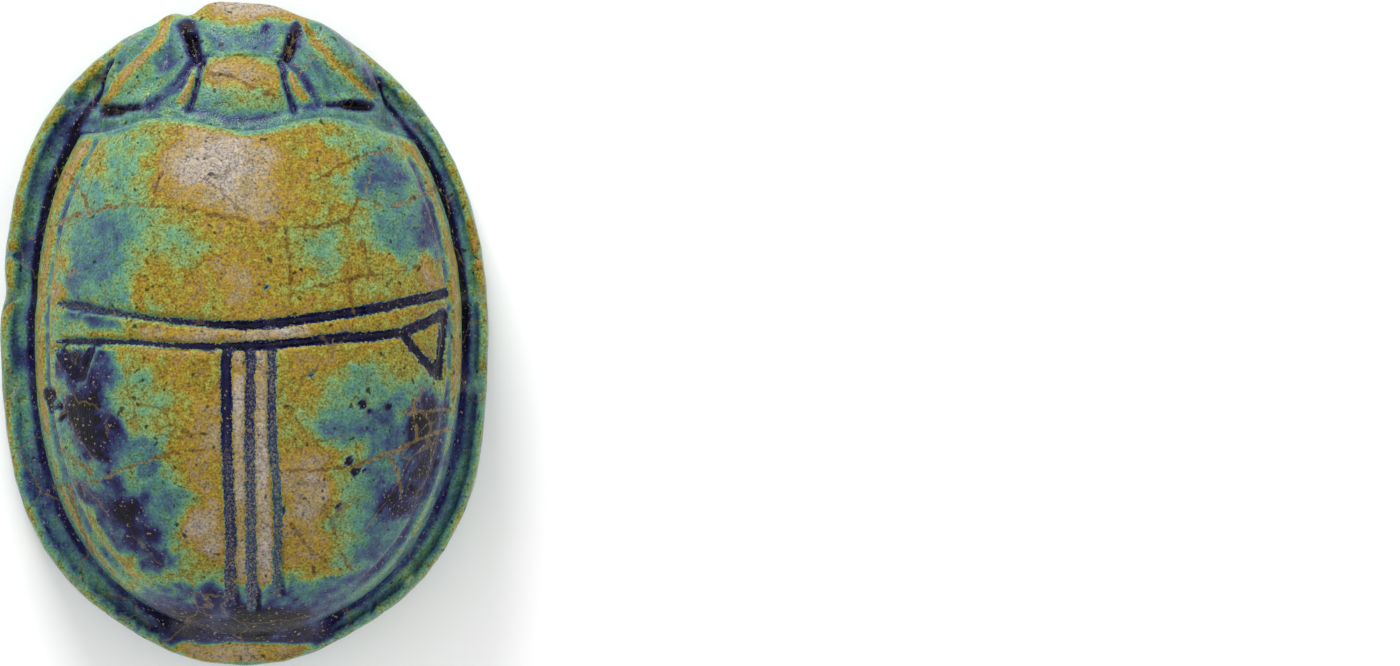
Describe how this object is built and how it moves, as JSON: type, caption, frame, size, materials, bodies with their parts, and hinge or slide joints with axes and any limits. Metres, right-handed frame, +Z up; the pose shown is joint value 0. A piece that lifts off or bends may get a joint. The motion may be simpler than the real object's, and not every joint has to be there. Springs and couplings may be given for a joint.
{
  "type": "scarab amulet",
  "caption": "Small beetle-shaped amulet of glazed stone with a domed back, cut wing lines, a lower head and a flat oval base with a sunk figure design, pierced from head to tail.",
  "frame": {"origin": "middle of the amulet's outline, on the surface it lies on", "axes": "+Z up from the flat base through the back, +Y towards the beetle's head, +X towards its right side seen from above"},
  "size_m": [0.0176, 0.024, 0.0108],
  "materials": {
    "glazed_stone": "worn green-blue glaze over pale stone, ochre where thin, dark blue where it pooled, finely crazed"
  },
  "bodies": {
    "root": {"scarab": "glazed_stone"}
  },
  "joints": []
}
